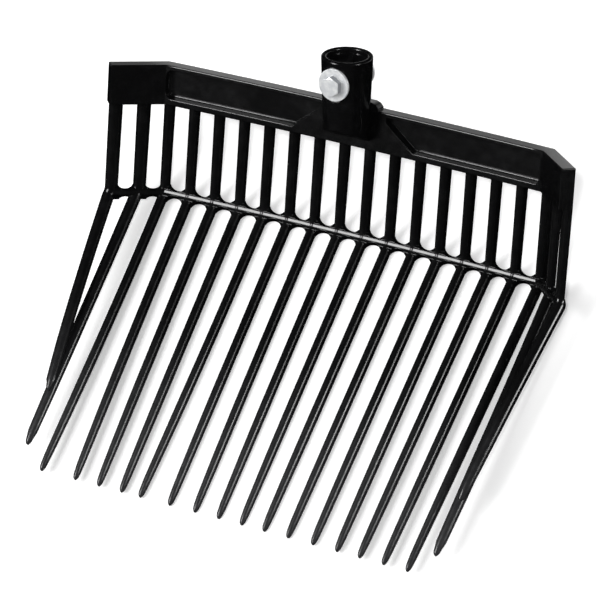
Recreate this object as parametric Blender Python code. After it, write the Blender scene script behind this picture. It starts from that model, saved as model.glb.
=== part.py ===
"""Moulded head of a compost fork, with the bolt that holds a handle in its socket.

The head lies as it rests on a floor, scoop side up. X runs along the rail, -Y along the tines and +Z
up. The origin is on the floor under the middle of the head. The knee, where the back wall of ribs
turns into the tines, lies behind it. Metres throughout.

Three directions shape the head. RISE runs up the back wall, from the knee to the rail. FACE points out
of the wall, to the scoop side. REACH runs along the tines, from the knee to their tips.
"""

import math

import bmesh
import bpy
from mathutils import Matrix, Vector

# How far the knee lies behind the origin
KNEE_BACK = 0.065

# Comb: tines, ribs and knee
PITCH = 0.0208
MAIN_TINES = 16
WING_TINES = 2
KNEE_BEND = math.radians(41.0)
KNEE_ROUND = 0.0105
WALL_HEIGHT = 0.0993
DISH = 0.0039
TIP_LIFT = 0.0036
TIP_NARROWING_SHARE = 0.048
MAIN_LENGTH = 0.230
WING_LENGTHS = (0.2085, 0.2025)
WING_TOES = (0.0058, 0.0190)

# Tine section: width and thickness on the wall, at the knee and at the tip
RIB_WIDTH = 0.0080
RIB_DEPTH = 0.0062
TINE_WIDTH = 0.0070
TINE_DEPTH = 0.0058
WING_TINE_EXTRA = 0.0019
TIP_WIDTH = 0.0044
TIP_DEPTH = 0.0036
WING_TIP_SHARE = 0.3
FLANK_SHARE = 0.32

# How far along a tine, and how much of its section is left there
TAPER_SHARES = ((0.50, 0.94), (0.77, 0.86), (0.91, 0.74))
# The rounded nose at a tine's end, and the angles round it that its rings lie at
TIP_NOSE = 0.0058
NOSE_ANGLES = (0, 32, 56, 76)

# Web that joins the tines at the knee, and the rounded throats above it and below it
WEB_RISE = 0.0025
WEB_DROP = 0.0037
WEB_INSET = 0.0004
THROAT_REACH_SHARE = 0.92
THROAT_DEPTH_SHARE = 0.75
THROAT_MIDDLE_SHARE = 0.6
WEB_BITE_SHARE = 1.4

# Rail: its corners and ends are set from the last tines on each side of them
CORNER_PAST_TINE = 0.0028
END_PAST_TINE = 0.0058
WING_ANGLE = math.radians(42.8)
RAIL_HEIGHT = 0.0293
RAIL_DEPTH = 0.0105
RAIL_PROUD = 0.0003
RAIL_EDGE = 0.0010
FLANGE = 0.0035
LIP = 0.0040
FLOOR = 0.0025
RECESS_ROUND = 0.0050
RECESS_FROM_CORNER = 0.0043
BOSS_PAST_SOCKET = 0.0100
BOSS_SPREAD = 0.0230
BOSS_SHOULDER = 0.0040

# Handle socket: its flare is the growth of its radius along its axis
SOCKET_LEAN = math.radians(4.6)
SOCKET_RADIUS = 0.0170
SOCKET_FLARE_SHARE = 0.0375
SOCKET_BACK = 0.0037
SOCKET_WALL = 0.0040
SOCKET_FLOOR = 0.0060
SOCKET_CHAMFER = 0.0012
FOOT_DROP = 0.0110
FOOT_SLANT = math.radians(27)
GUSSET_PAST_SOCKET = 0.0023
GUSSET_FOOT = 0.0015
GUSSET_STEP = 0.0022
GUSSET_SHOULDER = 0.0038
GUSSET_HEIGHT = 0.0050
GUSSET_TOP_SHARE = 0.8

# Fastening
BOLT_RADIUS = 0.0040
HEAD_FLATS = 0.0130
HEAD_HEIGHT = 0.0053
HEX_BEVEL = 0.0007
NUT_HEIGHT = 0.0080
COLLAR_HEIGHT = 0.0020
COLLAR_INSET = 0.0008
WASHER_RADIUS = 0.0120
WASHER_THICKNESS = 0.0020
WASHER_PAST_GUSSET = 0.0070
SPOT_DEPTH = 0.0013
SPOT_MARGIN = 0.0010
MOUTH_PAST_BOLT = 0.0168
BOLT_PAST_NUT = 0.0020
GAP = 0.0003
CUT_PAST = 0.0020

ROUND_STEPS = 48
SHANK_STEPS = 32
CROWN_STEPS = 7
KNEE_STEPS = 4
SWEEP_STEPS = 3

# What follows from those sizes
HALF_SPAN = PITCH * (MAIN_TINES - 1) / 2
CORNER = HALF_SPAN + CORNER_PAST_TINE
RAIL_END = HALF_SPAN + PITCH * WING_TINES + END_PAST_TINE
BOSS_HALF_TOP = SOCKET_RADIUS + BOSS_PAST_SOCKET
BOSS_HALF_FOOT = BOSS_HALF_TOP + BOSS_SPREAD
SOCKET_STAND = SOCKET_RADIUS + SOCKET_BACK
BOLT_RISE = GUSSET_HEIGHT + WASHER_PAST_GUSSET + WASHER_RADIUS
SOCKET_TOP = BOLT_RISE + MOUTH_PAST_BOLT
KNEE_LEAD = KNEE_ROUND * math.tan(KNEE_BEND / 2)
KNEE_HALF_ARC = KNEE_ROUND * KNEE_BEND / 2

ACROSS = Vector((1, 0, 0))
RISE = Vector((0, math.cos(KNEE_BEND), math.sin(KNEE_BEND)))
FACE = Vector((0, -math.sin(KNEE_BEND), math.cos(KNEE_BEND)))
REACH = Vector((0, -1, 0))
UP = Vector((0, 0, 1))
KNEE = Vector((0, KNEE_BACK, 0))


def clear_scene():
    for item in list(bpy.data.objects):
        bpy.data.objects.remove(item, do_unlink=True)


def material(name, colour, roughness, metallic=0.0):
    made = bpy.data.materials.new(name)
    made.use_nodes = True
    shader = made.node_tree.nodes["Principled BSDF"]
    shader.inputs["Base Color"].default_value = (*colour, 1.0)
    shader.inputs["Roughness"].default_value = roughness
    shader.inputs["Metallic"].default_value = metallic
    return made


def add_object(name, mesh, finish=None):
    made = bpy.data.objects.new(name, mesh)
    bpy.context.scene.collection.objects.link(made)
    if finish:
        mesh.materials.append(finish)
    return made


def mesh_from(name, shape):
    """Turn a bmesh into a mesh with its faces pointing out."""
    bmesh.ops.recalc_face_normals(shape, faces=shape.faces)
    mesh = bpy.data.meshes.new(name)
    shape.to_mesh(mesh)
    shape.free()
    return mesh


def loft(name, rings):
    """Skin a row of closed rings of points, and cap both ends."""
    shape = bmesh.new()
    rows = [[shape.verts.new(point) for point in ring] for ring in rings]
    count = len(rows[0])
    for near, far in zip(rows, rows[1:]):
        for i in range(count):
            j = (i + 1) % count
            shape.faces.new((near[i], near[j], far[j], far[i]))
    shape.faces.new(rows[0])
    shape.faces.new(rows[-1])
    return mesh_from(name, shape)


def turned(name, profile, steps=ROUND_STEPS):
    """Turn a closed profile of (radius, height) points about Z."""
    shape = bmesh.new()
    rows = []
    for k in range(steps):
        angle = 2 * math.pi * k / steps
        across, along = math.cos(angle), math.sin(angle)
        rows.append([shape.verts.new((r * across, r * along, z)) for r, z in profile])
    for near, far in zip(rows, rows[1:] + rows[:1]):
        for i in range(len(profile)):
            j = (i + 1) % len(profile)
            shape.faces.new((near[i], near[j], far[j], far[i]))
    return mesh_from(name, shape)


def frustum(name, low_radius, high_radius, low, high, steps=ROUND_STEPS):
    """A round bar about Z from low to high, tapering from one radius to the other."""
    shape = bmesh.new()
    bmesh.ops.create_cone(
        shape, cap_ends=True, segments=steps, radius1=low_radius, radius2=high_radius, depth=high - low
    )
    bmesh.ops.translate(shape, verts=shape.verts, vec=(0, 0, (high + low) / 2))
    return mesh_from(name, shape)


def cutter(name, mesh):
    """An object that only shapes another one, so it is neither drawn nor built."""
    made = add_object(name, mesh)
    made.hide_render = True
    made.display_type = "WIRE"
    return made


def combine(target, operation, operands):
    """Join the operands to the target, or cut them from it, in one step."""
    group = bpy.data.collections.new(f"{target.name}_{operation.lower()}")
    bpy.context.scene.collection.children.link(group)
    for item in operands:
        group.objects.link(item)
    modifier = target.modifiers.new(operation.title(), "BOOLEAN")
    modifier.operation = operation
    modifier.solver = "EXACT"
    modifier.operand_type = "COLLECTION"
    modifier.collection = group


def smooth(item, angle=math.radians(35)):
    item.data.shade_smooth()
    item.data.set_sharp_from_angle(angle=angle)


def dish(run):
    """How far the wall comes forward at a distance from the middle."""
    return DISH * (run / HALF_SPAN) ** 2


def facing(run):
    """The directions along the rail and out of its face, on the main wall or on a wing."""
    if abs(run) <= CORNER:
        return ACROSS, FACE
    side = math.copysign(1, run)
    along = ACROSS * math.cos(WING_ANGLE) + FACE * side * math.sin(WING_ANGLE)
    out = FACE * math.cos(WING_ANGLE) - ACROSS * side * math.sin(WING_ANGLE)
    return along, out


def on_wall(run, rise, depth):
    """A point of the wall: run along the rail, rise above the knee and depth in front of the back."""
    side = math.copysign(1, run)
    past = abs(run) - CORNER
    if past < 0:
        return KNEE + ACROSS * run + FACE * (dish(run) + depth) + RISE * rise
    corner = KNEE + ACROSS * side * CORNER + FACE * dish(CORNER) + RISE * rise
    if past == 0:
        return corner + FACE * depth - ACROSS * side * depth * math.tan(WING_ANGLE / 2)
    along, out = facing(run)
    return corner + along * side * past + out * depth


def tine_section():
    """A tine's section, flat at the back and round in front, as half-widths and thicknesses."""
    angles = [math.pi * step / CROWN_STEPS for step in range(CROWN_STEPS + 1)]
    crown = [(math.cos(a), FLANK_SHARE + (1 - FLANK_SHARE) * math.sin(a)) for a in angles]
    return [(1.0, 0.0), *crown, (-1.0, 0.0)]


def over_knee(base, far, out, part):
    """A back's point and the direction out of it, a part of the way round the knee."""
    near = base + RISE * KNEE_LEAD
    spot = near.lerp(base, part).lerp(base.lerp(far, part), part)
    return spot, out.slerp(UP, part)


def past_knee(base, out, distance):
    """The same, a distance along the back past the middle of the knee, or before it if negative."""
    part = min(1.0, max(0.0, (distance / KNEE_HALF_ARC + 1) / 2))
    spot, facing_out = over_knee(base, base + REACH * KNEE_LEAD, out, part)
    spot += RISE * max(0.0, -distance - KNEE_HALF_ARC)
    spot += REACH * max(0.0, distance - KNEE_HALF_ARC)
    return spot, facing_out


class Tine:
    """One tine and the rib above it, from the rail's lip over the knee to the tip."""

    def __init__(self, number):
        self.run = (number - (MAIN_TINES + 1) / 2) * PITCH
        wing_place = max(1 - number, number - MAIN_TINES) - 1
        self.on_wing = wing_place >= 0
        self.base = on_wall(self.run, 0, 0)
        self.along, self.out = facing(self.run)
        self.side = math.copysign(1, self.run)
        self.extra = WING_TINE_EXTRA if self.on_wing else 0.0
        if self.on_wing:
            self.length = WING_LENGTHS[wing_place]
            self.toe = WING_TOES[wing_place]
            self.lift = 0.0
        else:
            self.length = MAIN_LENGTH
            self.toe = abs(self.run) * TIP_NARROWING_SHARE
            self.lift = TIP_LIFT * (self.run / HALF_SPAN) ** 2

    def at(self, reach):
        """The middle of the tine's back, a distance along it."""
        part = reach / self.length
        return self.base + REACH * reach - ACROSS * self.side * self.toe * part + UP * self.lift * part

    def ring(self, centre, across, out, width, depth):
        half = (width + self.extra) / 2
        return [centre + across * half * a + out * depth * b for a, b in tine_section()]

    def rings(self):
        lip_middle = WALL_HEIGHT - RAIL_HEIGHT + LIP / 2
        top = self.base + RISE * lip_middle
        made = [self.ring(top, self.along, self.out, RIB_WIDTH, RIB_DEPTH)]
        for step in range(KNEE_STEPS + 1):
            part = step / KNEE_STEPS
            spot, out = over_knee(self.base, self.at(KNEE_LEAD), self.out, part)
            across = self.along.slerp(ACROSS, part)
            made.append(self.ring(spot, across, out, TINE_WIDTH, TINE_DEPTH))
        for part, share in TAPER_SHARES:
            width, depth = TINE_WIDTH * share, TINE_DEPTH * share
            made.append(self.ring(self.at(self.length * part), ACROSS, UP, width, depth))
        for degrees in NOSE_ANGLES:
            back = TIP_NOSE * (1 - math.sin(math.radians(degrees)))
            share = math.cos(math.radians(degrees))
            width = (TIP_WIDTH + self.extra * WING_TIP_SHARE) * share - self.extra
            made.append(self.ring(self.at(self.length - back), ACROSS, UP, width, TIP_DEPTH * share))
        return made


def web_between(left, right):
    """The web that ties two tines at the knee, with a rounded throat above it and below it."""
    span = (right.base - left.base).length
    throat = (span - TINE_WIDTH - (left.extra + right.extra) / 2) / 2
    out = (left.out + right.out).normalized()
    rings = []
    half_way = (THROAT_MIDDLE_SHARE, THROAT_REACH_SHARE, WEB_BITE_SHARE)
    for place in (*(-part for part in reversed(half_way)), 0.0, *half_way):
        reach = min(abs(place), THROAT_REACH_SHARE)
        grow = throat * THROAT_DEPTH_SHARE * (1 - math.sqrt(1 - reach**2))
        base = left.base.lerp(right.base, (1 + 2 * place * throat / span) / 2)
        start, stop = -WEB_RISE - grow, WEB_DROP + grow
        stations = [start + (stop - start) * step / KNEE_STEPS for step in range(KNEE_STEPS + 1)]
        spots = [past_knee(base, out, station) for station in stations]
        back = [spot + facing_out * WEB_INSET for spot, facing_out in spots]
        front = [spot + facing_out * (TINE_DEPTH - WEB_INSET) for spot, facing_out in spots]
        rings.append([*back, *reversed(front)])
    return rings


def rail_rings():
    """The rail's outline, with broken edges, at every tine's place and round both corners."""
    low = WALL_HEIGHT - RAIL_HEIGHT
    high = WALL_HEIGHT
    back = -RAIL_PROUD
    front = RAIL_DEPTH - RAIL_PROUD
    outline = (
        (back, low + RAIL_EDGE),
        (back, high - RAIL_EDGE),
        (back + RAIL_EDGE, high),
        (front - RAIL_EDGE, high),
        (front, high - RAIL_EDGE),
        (front, low + RAIL_EDGE),
        (front - RAIL_EDGE, low),
        (back + RAIL_EDGE, low),
    )
    inner = [PITCH * (k - (MAIN_TINES - 2) / 2) for k in range(MAIN_TINES - 1)]
    stops = [-RAIL_END, -CORNER, *inner, CORNER, RAIL_END]
    return [[on_wall(run, rise, depth) for depth, rise in outline] for run in stops]


def panel_recess(side):
    """The long sunk panel in the rail's front, swept up at the wing and slanting at the socket's boss."""
    top = WALL_HEIGHT - FLANGE
    foot = WALL_HEIGHT - RAIL_HEIGHT + LIP
    end = CORNER - RECESS_FROM_CORNER
    stations = []
    for step in range(SWEEP_STEPS + 1):
        angle = math.pi / 2 * step / SWEEP_STEPS
        inset = RECESS_ROUND * (1 - math.sin(angle))
        run = end - RECESS_ROUND * (1 - math.cos(angle))
        stations.append((run, foot + inset, top - inset, FLOOR + inset))
    reach = end - RECESS_ROUND - BOSS_HALF_FOOT
    stations += [(BOSS_HALF_FOOT + reach * third / 3, foot, top, FLOOR) for third in (2, 1, 0)]
    stations.append((BOSS_HALF_TOP, top - BOSS_SHOULDER, top, FLOOR))
    rings = []
    for run, low, high, floor in stations:
        corners = ((floor, low), (floor, high), (2 * RAIL_DEPTH, high), (2 * RAIL_DEPTH, low))
        rings.append([on_wall(side * run, rise, depth) for depth, rise in corners])
    return loft("recess", rings)


def wing_pocket(side):
    """The hollow behind a wing's plain front, open to the back."""
    front = RAIL_DEPTH - FLOOR - RAIL_PROUD
    low = WALL_HEIGHT - RAIL_HEIGHT + LIP
    high = WALL_HEIGHT - FLANGE
    corners = ((-RAIL_DEPTH, low), (-RAIL_DEPTH, high), (front, high), (front, low))
    ends = (CORNER + FLANGE, RAIL_END - FLANGE)
    rings = [[on_wall(side * run, rise, depth) for depth, rise in corners] for run in ends]
    return loft("pocket", rings)


def socket_frame():
    """The socket's own axes: Z up its bore and Y out of its front, from the rail's top edge."""
    axis = RISE * math.cos(SOCKET_LEAN) + FACE * math.sin(SOCKET_LEAN)
    front = FACE * math.cos(SOCKET_LEAN) - RISE * math.sin(SOCKET_LEAN)
    seat = KNEE + RISE * WALL_HEIGHT + FACE * SOCKET_STAND
    turn = Matrix((-ACROSS, front, axis)).transposed().to_4x4()
    return Matrix.Translation(seat) @ turn


def bolt_frame():
    """The bolt's own axes: Z out of the socket's front along the bolt, from the bore's middle."""
    return socket_frame() @ Matrix.Translation((0, 0, BOLT_RISE)) @ Matrix.Rotation(-math.pi / 2, 4, "X")


def socket_radius(height):
    return SOCKET_RADIUS + SOCKET_FLARE_SHARE * height


def socket_body():
    """The outside of the socket, with its mouth's chamfer and its slanting foot."""
    bottom = LIP - RAIL_HEIGHT
    edge = SOCKET_TOP - SOCKET_CHAMFER
    rims = (
        (bottom, socket_radius(bottom)),
        (edge, socket_radius(edge)),
        (SOCKET_TOP, socket_radius(SOCKET_TOP) - SOCKET_CHAMFER),
    )
    rings = []
    for height, radius in rims:
        angles = [2 * math.pi * k / ROUND_STEPS for k in range(ROUND_STEPS)]
        rings.append([(radius * math.cos(a), radius * math.sin(a), height) for a in angles])
    body = cutter("socket_body", loft("socket_body", rings))
    body.matrix_world = socket_frame()
    combine(body, "DIFFERENCE", [socket_foot()])
    return body


def socket_foot():
    """The block under the socket's slanting foot."""
    reach = 6 * SOCKET_RADIUS
    shape = bmesh.new()
    bmesh.ops.create_cube(shape, size=reach)
    bmesh.ops.translate(shape, verts=shape.verts, vec=(0, 0, -reach / 2))
    block = cutter("socket_foot", mesh_from("socket_foot", shape))
    front = Matrix.Translation((0, SOCKET_RADIUS, -FOOT_DROP))
    block.matrix_world = socket_frame() @ front @ Matrix.Rotation(FOOT_SLANT, 4, "X")
    return block


def gusset():
    """The shoulder that carries the socket on the rail's top flange."""
    half = SOCKET_RADIUS + GUSSET_PAST_SOCKET
    flank = (
        (half, -FLANGE / 2),
        (half, GUSSET_FOOT),
        (half - GUSSET_STEP, GUSSET_SHOULDER),
        (SOCKET_RADIUS * GUSSET_TOP_SHARE, GUSSET_HEIGHT),
    )
    outline = [*flank, *((-run, rise) for run, rise in reversed(flank))]
    rings = []
    for depth in (RAIL_EDGE, RAIL_DEPTH - RAIL_EDGE):
        rings.append([on_wall(run, WALL_HEIGHT + rise, depth) for run, rise in outline])
    return cutter("gusset", loft("gusset", rings))


def build_head(finish):
    head = add_object("fork_head", loft("fork_head", rail_rings()), finish)
    hollows = []
    for side in (-1, 1):
        hollows.append(cutter("recess", panel_recess(side)))
        hollows.append(cutter("pocket", wing_pocket(side)))
    combine(head, "DIFFERENCE", hollows)

    tines = [Tine(number) for number in range(1 - WING_TINES, MAIN_TINES + WING_TINES + 1)]
    added = [cutter("tine", loft("tine", tine.rings())) for tine in tines]
    added += [cutter("web", loft("web", web_between(left, right))) for left, right in zip(tines, tines[1:])]
    added += [socket_body(), gusset()]
    combine(head, "UNION", added)

    combine(head, "DIFFERENCE", [socket_bore(), *bolt_holes()])


def socket_bore():
    """The tapering hole that the handle goes into."""
    bottom = -SOCKET_FLOOR
    top = SOCKET_TOP + CUT_PAST
    low = socket_radius(bottom) - SOCKET_WALL
    high = socket_radius(top) - SOCKET_WALL
    bore = cutter("bore", frustum("bore", low, high, bottom, top))
    bore.matrix_world = socket_frame()
    return bore


def bolt_holes():
    """The bolt's hole through the socket, and the flat that each washer lies on."""
    reach = 2 * SOCKET_RADIUS
    hole_radius = BOLT_RADIUS + GAP
    hole = cutter("bolt_hole", frustum("bolt_hole", hole_radius, hole_radius, -reach, reach, SHANK_STEPS))
    hole.matrix_world = bolt_frame()
    cuts = [hole]
    spot_radius = WASHER_RADIUS + SPOT_MARGIN
    for turn in (0, math.pi):
        spot = frustum("spot_face", spot_radius, spot_radius, washer_seat(), reach)
        spot_cutter = cutter("spot_face", spot)
        spot_cutter.matrix_world = bolt_frame() @ Matrix.Rotation(turn, 4, "X")
        cuts.append(spot_cutter)
    return cuts


def washer_seat():
    """The distance from the bore's middle to the flats that the washers lie on."""
    return socket_radius(BOLT_RISE) - SPOT_DEPTH


def build_washers(finish):
    hole = BOLT_RADIUS + GAP
    low = washer_seat() + GAP
    high = low + WASHER_THICKNESS
    profile = ((hole, low), (WASHER_RADIUS, low), (WASHER_RADIUS, high), (hole, high))
    for name, turn in (("front_washer", 0), ("rear_washer", math.pi)):
        washer = add_object(name, turned(name, profile), finish)
        washer.matrix_world = bolt_frame() @ Matrix.Rotation(turn, 4, "X")
        smooth(washer)


def hexagon(name, flats, low, high):
    """A six-sided prism about Z, its far rim broken."""
    shape = bmesh.new()
    radius = flats / math.sqrt(3)
    bmesh.ops.create_cone(
        shape, cap_ends=True, segments=6, radius1=radius, radius2=radius, depth=high - low
    )
    bmesh.ops.translate(shape, verts=shape.verts, vec=(0, 0, (high + low) / 2))
    rim = [edge for edge in shape.edges if min(v.co.z for v in edge.verts) > (high + low) / 2]
    bmesh.ops.bevel(shape, geom=rim, offset=HEX_BEVEL, segments=1, affect="EDGES", profile=0.5)
    return mesh_from(name, shape)


def build_bolt(finish):
    under_head = washer_seat() + WASHER_THICKNESS + 2 * GAP
    behind = under_head + NUT_HEIGHT + BOLT_PAST_NUT
    head = hexagon("retaining_bolt", HEAD_FLATS, under_head, under_head + HEAD_HEIGHT)
    bolt = add_object("retaining_bolt", head, finish)
    bolt.matrix_world = bolt_frame()
    into_head = under_head + HEAD_HEIGHT / 2
    shank = frustum("shank", BOLT_RADIUS, BOLT_RADIUS, -behind, into_head, SHANK_STEPS)
    shank_body = cutter("shank", shank)
    shank_body.matrix_world = bolt_frame()
    combine(bolt, "UNION", [shank_body])
    smooth(bolt)
    return bolt


def build_nut(finish, carrier):
    """The lock nut: a hexagon with the round collar that grips the thread."""
    near = washer_seat() + WASHER_THICKNESS + 2 * GAP
    far = near + NUT_HEIGHT
    frame = bolt_frame() @ Matrix.Rotation(math.pi, 4, "X")
    nut = add_object("lock_nut", hexagon("lock_nut", HEAD_FLATS, near, far - COLLAR_HEIGHT), finish)
    nut.matrix_world = frame
    ring_radius = HEAD_FLATS / 2 - COLLAR_INSET
    ring_low = far - 2 * COLLAR_HEIGHT
    ring = cutter("collar", frustum("collar", ring_radius, ring_radius - COLLAR_INSET, ring_low, far))
    ring.matrix_world = frame
    combine(nut, "UNION", [ring])
    hole_radius = BOLT_RADIUS + GAP
    ends = (near - CUT_PAST, far + CUT_PAST)
    hole = cutter("nut_hole", frustum("nut_hole", hole_radius, hole_radius, *ends, SHANK_STEPS))
    hole.matrix_world = frame
    combine(nut, "DIFFERENCE", [hole])
    smooth(nut)
    nut.parent = carrier
    nut.matrix_parent_inverse = carrier.matrix_world.inverted()


def main():
    clear_scene()
    plastic = material("black_plastic", (0.012, 0.012, 0.013), 0.3)
    zinc = material("zinc_plate", (0.72, 0.73, 0.74), 0.28, 1.0)
    build_head(plastic)
    build_washers(zinc)
    bolt = build_bolt(zinc)
    bpy.context.view_layer.update()
    build_nut(zinc, bolt)


main()
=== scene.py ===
"""The looks of a compost fork's moulded head, and the studio that it lies in.

The head lies scoop side up on a pale floor. X runs along the rail, -Y along the tines and Z up.
All sizes are in metres.
"""
import logging
from dataclasses import dataclass
from enum import Enum
from math import atan2, copysign, cos, pi, radians, sin, sqrt, tan
from typing import Callable, Iterable, Optional, Union

import bmesh
import bpy
from bpy.types import Object
from mathutils import Matrix, Vector


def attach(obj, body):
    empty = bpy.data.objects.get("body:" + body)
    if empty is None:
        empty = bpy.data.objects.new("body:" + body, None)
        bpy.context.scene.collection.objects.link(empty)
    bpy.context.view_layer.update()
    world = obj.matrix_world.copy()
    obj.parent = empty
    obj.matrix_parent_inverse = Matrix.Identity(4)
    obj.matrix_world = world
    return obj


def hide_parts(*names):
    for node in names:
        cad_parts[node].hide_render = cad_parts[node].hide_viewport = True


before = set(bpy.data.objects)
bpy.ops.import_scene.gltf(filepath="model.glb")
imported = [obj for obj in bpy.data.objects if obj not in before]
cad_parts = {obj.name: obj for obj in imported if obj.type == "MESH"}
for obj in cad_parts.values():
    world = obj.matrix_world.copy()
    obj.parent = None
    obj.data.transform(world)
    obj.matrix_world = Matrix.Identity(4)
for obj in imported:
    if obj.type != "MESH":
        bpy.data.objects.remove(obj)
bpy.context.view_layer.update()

LOG = logging.getLogger("fork_head")

ACROSS = Vector((1, 0, 0))
REACH = Vector((0, -1, 0))
UP = Vector((0, 0, 1))
QUARTER = pi / 2
CLOSE = 1e-5
MERGED = 1e-6


class Body(Enum):
    """The bodies that pieces ride on."""

    HEAD = "head"
    BOLT = "bolt"


class Slot(Enum):
    """The names of the material slots; nothing in the script uses them."""

    PLASTIC = "black_plastic"
    ZINC = "zinc_plate"


class Side(Enum):
    """The two halves of the head, by the sign of X."""

    LEFT = -1
    RIGHT = 1


def basis(x_axis: Vector, y_axis: Vector, z_axis: Vector) -> Matrix:
    """The turn that brings X, Y and Z to three directions."""
    return Matrix((x_axis, y_axis, z_axis)).transposed().to_4x4()


def aimed(back: Vector, across: Vector) -> Matrix:
    """The turn that brings Z to one direction, and X as near another as it can.

    Args:
        back: where Z goes.
        across: what X comes near to.

    Returns:
        The turn.
    """
    back = back.normalized()
    side = (across - back * across.dot(back)).normalized()
    return basis(side, back.cross(side), back)


class Bench:
    """The modelling operators, each used as by hand."""

    FACE_WEIGHT = 80

    @staticmethod
    def clear() -> None:
        """Leave edit mode and deselect everything."""
        if bpy.context.object and bpy.context.object.mode != "OBJECT":
            bpy.ops.object.mode_set(mode="OBJECT")
        bpy.ops.object.select_all(action="DESELECT")

    @classmethod
    def take(cls, *pieces: Object) -> None:
        """Select pieces alone, the last one active.

        Args:
            pieces: what to select.
        """
        cls.clear()
        for piece in pieces:
            piece.select_set(True)
        bpy.context.view_layer.objects.active = pieces[-1]

    @staticmethod
    def edit() -> None:
        """Enter edit mode with everything selected."""
        bpy.ops.object.mode_set(mode="EDIT")
        bpy.ops.mesh.select_mode(type="VERT")
        bpy.ops.mesh.select_all(action="SELECT")

    @classmethod
    def settle(cls, piece: Object) -> None:
        """Move a piece's place into its mesh."""
        cls.take(piece)
        bpy.ops.object.transform_apply(location=True, rotation=True, scale=True)

    @classmethod
    def new(cls, name: str, add: Callable, place: Optional[Matrix] = None, **settings) -> Object:
        """Add a primitive and leave it in edit mode with all of it selected.

        Args:
            name: the piece's name.
            add: the operator that adds it.
            place: where its own axes go, if its settings don't say.
            settings: the operator's settings.

        Returns:
            The new piece.
        """
        cls.clear()
        add(**settings)
        piece = bpy.context.object
        piece.name = name
        if place is not None:
            piece.matrix_world = place
        cls.settle(piece)
        cls.edit()
        return piece

    @classmethod
    def rectangle(cls, name: str, width: float, height: float, place: Matrix) -> Object:
        """Add a flat rectangle, a piece's first face, and leave it selected in edit mode."""
        size = Matrix.Diagonal((width, height, 1, 1))
        return cls.new(name, bpy.ops.mesh.primitive_plane_add, place @ size, size=1)

    @classmethod
    def bar(
        cls, name: str, ends: tuple[float, float], radii: tuple[float, float], sides: int
    ) -> Object:
        """Add a bar about Z, straight or tapering.

        Args:
            name: the piece's name.
            ends: the heights of its lower and its upper end.
            radii: its radius at each.
            sides: how many sides it has.

        Returns:
            The bar, in edit mode with all of it selected.
        """
        low, high = ends
        size = {"radius1": radii[0], "radius2": radii[1], "depth": high - low}
        spot = (0, 0, (low + high) / 2)
        return cls.new(
            name, bpy.ops.mesh.primitive_cone_add, vertices=sides, location=spot, **size
        )

    @classmethod
    def put(cls, piece: Object, place: Matrix) -> Object:
        """Stand a piece, modelled about the origin, at its place.

        Args:
            piece: what to place.
            place: where its own axes go.

        Returns:
            The same piece.
        """
        cls.clear()
        piece.matrix_world = place
        cls.settle(piece)
        return piece

    @staticmethod
    def extrude(step: Vector) -> None:
        """Extrude the selected face by a step."""
        bpy.ops.mesh.extrude_region_move(TRANSFORM_OT_translate={"value": tuple(step)})

    @staticmethod
    def resize(scale: tuple, about: Vector) -> None:
        """Scale the selection about a point."""
        bpy.ops.transform.resize(value=scale, center_override=tuple(about))

    @staticmethod
    def pick(piece: Object, wanted: Callable[[Vector], bool]) -> None:
        """Select the vertices of a piece in edit mode whose place passes a test.

        Args:
            piece: the piece.
            wanted: the test.
        """
        bpy.ops.mesh.select_mode(type="VERT")
        bpy.ops.mesh.select_all(action="DESELECT")
        shape = bmesh.from_edit_mesh(piece.data)
        for vert in shape.verts:
            vert.select = wanted(vert.co)
        shape.select_flush(True)
        bmesh.update_edit_mesh(piece.data)

    @classmethod
    def pull(cls, piece: Object, wanted: Callable[[Vector], bool], step: Vector) -> None:
        """Move the vertices of a piece in edit mode whose place passes a test."""
        cls.pick(piece, wanted)
        bpy.ops.transform.translate(value=tuple(step))

    @staticmethod
    def round_edges(piece: Object, wanted: Callable, width: float, steps: int) -> None:
        """Bevel the edges of a piece in edit mode that pass a test.

        Args:
            piece: the piece.
            wanted: the test.
            width: the bevel's width.
            steps: how many faces it has.
        """
        bpy.ops.mesh.select_mode(type="EDGE")
        bpy.ops.mesh.select_all(action="DESELECT")
        shape = bmesh.from_edit_mesh(piece.data)
        for edge in shape.edges:
            edge.select = wanted(edge)
        bmesh.update_edit_mesh(piece.data)
        bpy.ops.mesh.bevel(offset=width, segments=steps, profile=0.5, affect="EDGES")
        bpy.ops.mesh.select_mode(type="VERT")

    @classmethod
    def done(cls, piece: Object) -> Object:
        """Merge doubles, turn the faces out and leave edit mode.

        Args:
            piece: what to clean.

        Returns:
            The same piece.
        """
        cls.take(piece)
        cls.edit()
        bpy.ops.mesh.remove_doubles(threshold=MERGED)
        bpy.ops.mesh.normals_make_consistent(inside=False)
        bpy.ops.object.mode_set(mode="OBJECT")
        return piece

    @staticmethod
    def link(name: str, data: bpy.types.ID) -> Object:
        """Stand new data in the scene as an object.

        Args:
            name: the object's name.
            data: what it shows.

        Returns:
            The object.
        """
        made = bpy.data.objects.new(name, data)
        bpy.context.scene.collection.objects.link(made)
        return made

    @classmethod
    def line(cls, name: str, points: list[tuple[Vector, float]]) -> Object:
        """Lay a line through points.

        Args:
            name: the line's name.
            points: where it passes, each with the angle that it is turned about itself.

        Returns:
            The line.
        """
        line = bpy.data.curves.new(name, "CURVE")
        line.dimensions = "3D"
        spline = line.splines.new("POLY")
        spline.points.add(len(points) - 1)
        for point, (spot, tilt) in zip(spline.points, points):
            point.co = (*spot, 1)
            point.tilt = tilt
        return cls.link(name, line)

    @classmethod
    def modify(cls, piece: Object, kind: str, **settings) -> None:
        """Add a modifier to a piece and apply it.

        Args:
            piece: what it changes.
            kind: the modifier's type.
            settings: its settings.
        """
        cls.take(piece)
        modifier = piece.modifiers.new(kind.title(), kind)
        for name, value in settings.items():
            setattr(modifier, name, value)
        bpy.ops.object.modifier_apply(modifier=modifier.name)

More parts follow.
